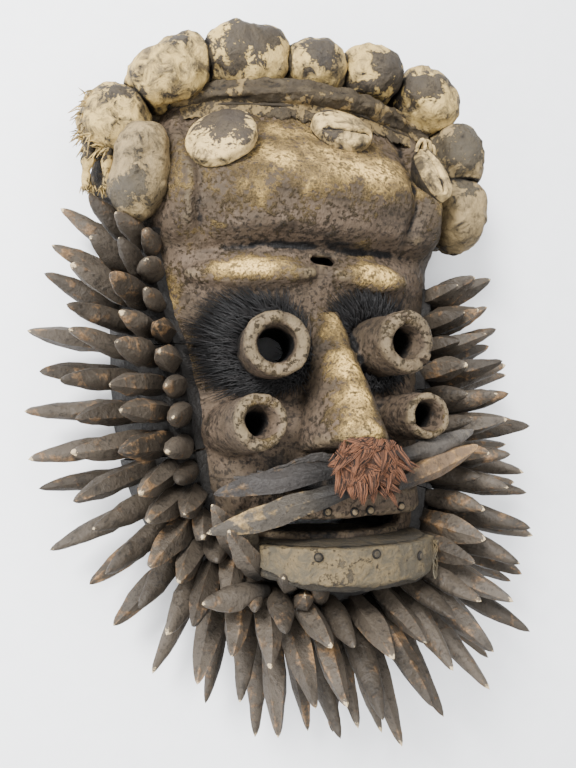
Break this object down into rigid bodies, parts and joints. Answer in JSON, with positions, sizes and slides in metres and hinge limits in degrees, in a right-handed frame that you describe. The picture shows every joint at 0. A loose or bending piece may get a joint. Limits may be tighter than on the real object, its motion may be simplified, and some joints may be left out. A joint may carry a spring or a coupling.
{
  "type": "guere mask",
  "caption": "Hollow carved wooden face mask with tubular eyes, a headdress of stuffed hide pods and a beard of long wooden spikes, lying face up on its back rim",
  "frame": {"origin": "middle of the bounding box, at the height of the back rim that the mask lies on", "axes": "+Z out of the face, +Y from the chin to the crown, +X to the viewer's right"},
  "size_m": [0.358, 0.4822, 0.166],
  "materials": {
    "carved_wood": "dark carved wood with a grey and cream crust",
    "spike_wood": "weathered dark wood, worn lighter along the edges",
    "hide": "dry stiff hide with cream pigment flaking off a dark skin",
    "black_hair": "matt black hair",
    "brown_fur": "short reddish brown fur"
  },
  "bodies": {
    "root": {"beard_1": "spike_wood", "beard_2": "spike_wood", "beard_3": "spike_wood", "beard_4": "spike_wood", "beard_5": "spike_wood", "beard_6": "spike_wood", "beard_7": "spike_wood", "beard_8": "spike_wood", "carved_face": "carved_wood", "crown_pod_1": "hide", "crown_pod_2": "hide", "crown_pod_3": "hide", "crown_pod_4": "hide", "crown_pod_5": "hide", "crown_pod_6": "hide", "eye_hair_left": "black_hair", "eye_hair_right": "black_hair", "forehead_disc_left": "hide", "forehead_disc_middle": "hide", "forehead_disc_right": "hide", "headdress_collar": "hide", "lower_lip": "hide", "nose_tuft": "brown_fur", "outer_spike_01": "spike_wood", "outer_spike_02": "spike_wood", "outer_spike_03": "spike_wood", "outer_spike_04": "spike_wood", "outer_spike_05": "spike_wood", "outer_spike_06": "spike_wood", "outer_spike_07": "spike_wood", "outer_spike_08": "spike_wood", "outer_spike_09": "spike_wood", "outer_spike_10": "spike_wood", "outer_spike_11": "spike_wood", "outer_spike_12": "spike_wood", "outer_spike_13": "spike_wood", "outer_spike_14": "spike_wood", "outer_spike_15": "spike_wood", "outer_spike_16": "spike_wood", "outer_spike_17": "spike_wood", "outer_spike_18": "spike_wood", "outer_spike_19": "spike_wood", "outer_spike_20": "spike_wood", "outer_spike_21": "spike_wood", "outer_spike_22": "spike_wood", "outer_spike_23": "spike_wood", "outer_spike_24": "spike_wood", "outer_spike_25": "spike_wood", "outer_spike_26": "spike_wood", "outer_spike_27": "spike_wood", "outer_spike_28": "spike_wood", "rolled_band": "hide", "temple_pod_left": "hide", "temple_pod_right": "hide", "torn_pod": "hide", "whisker_lower_left": "spike_wood", "whisker_lower_right": "spike_wood", "whisker_upper_left": "spike_wood", "whisker_upper_right": "spike_wood"}
  },
  "joints": []
}
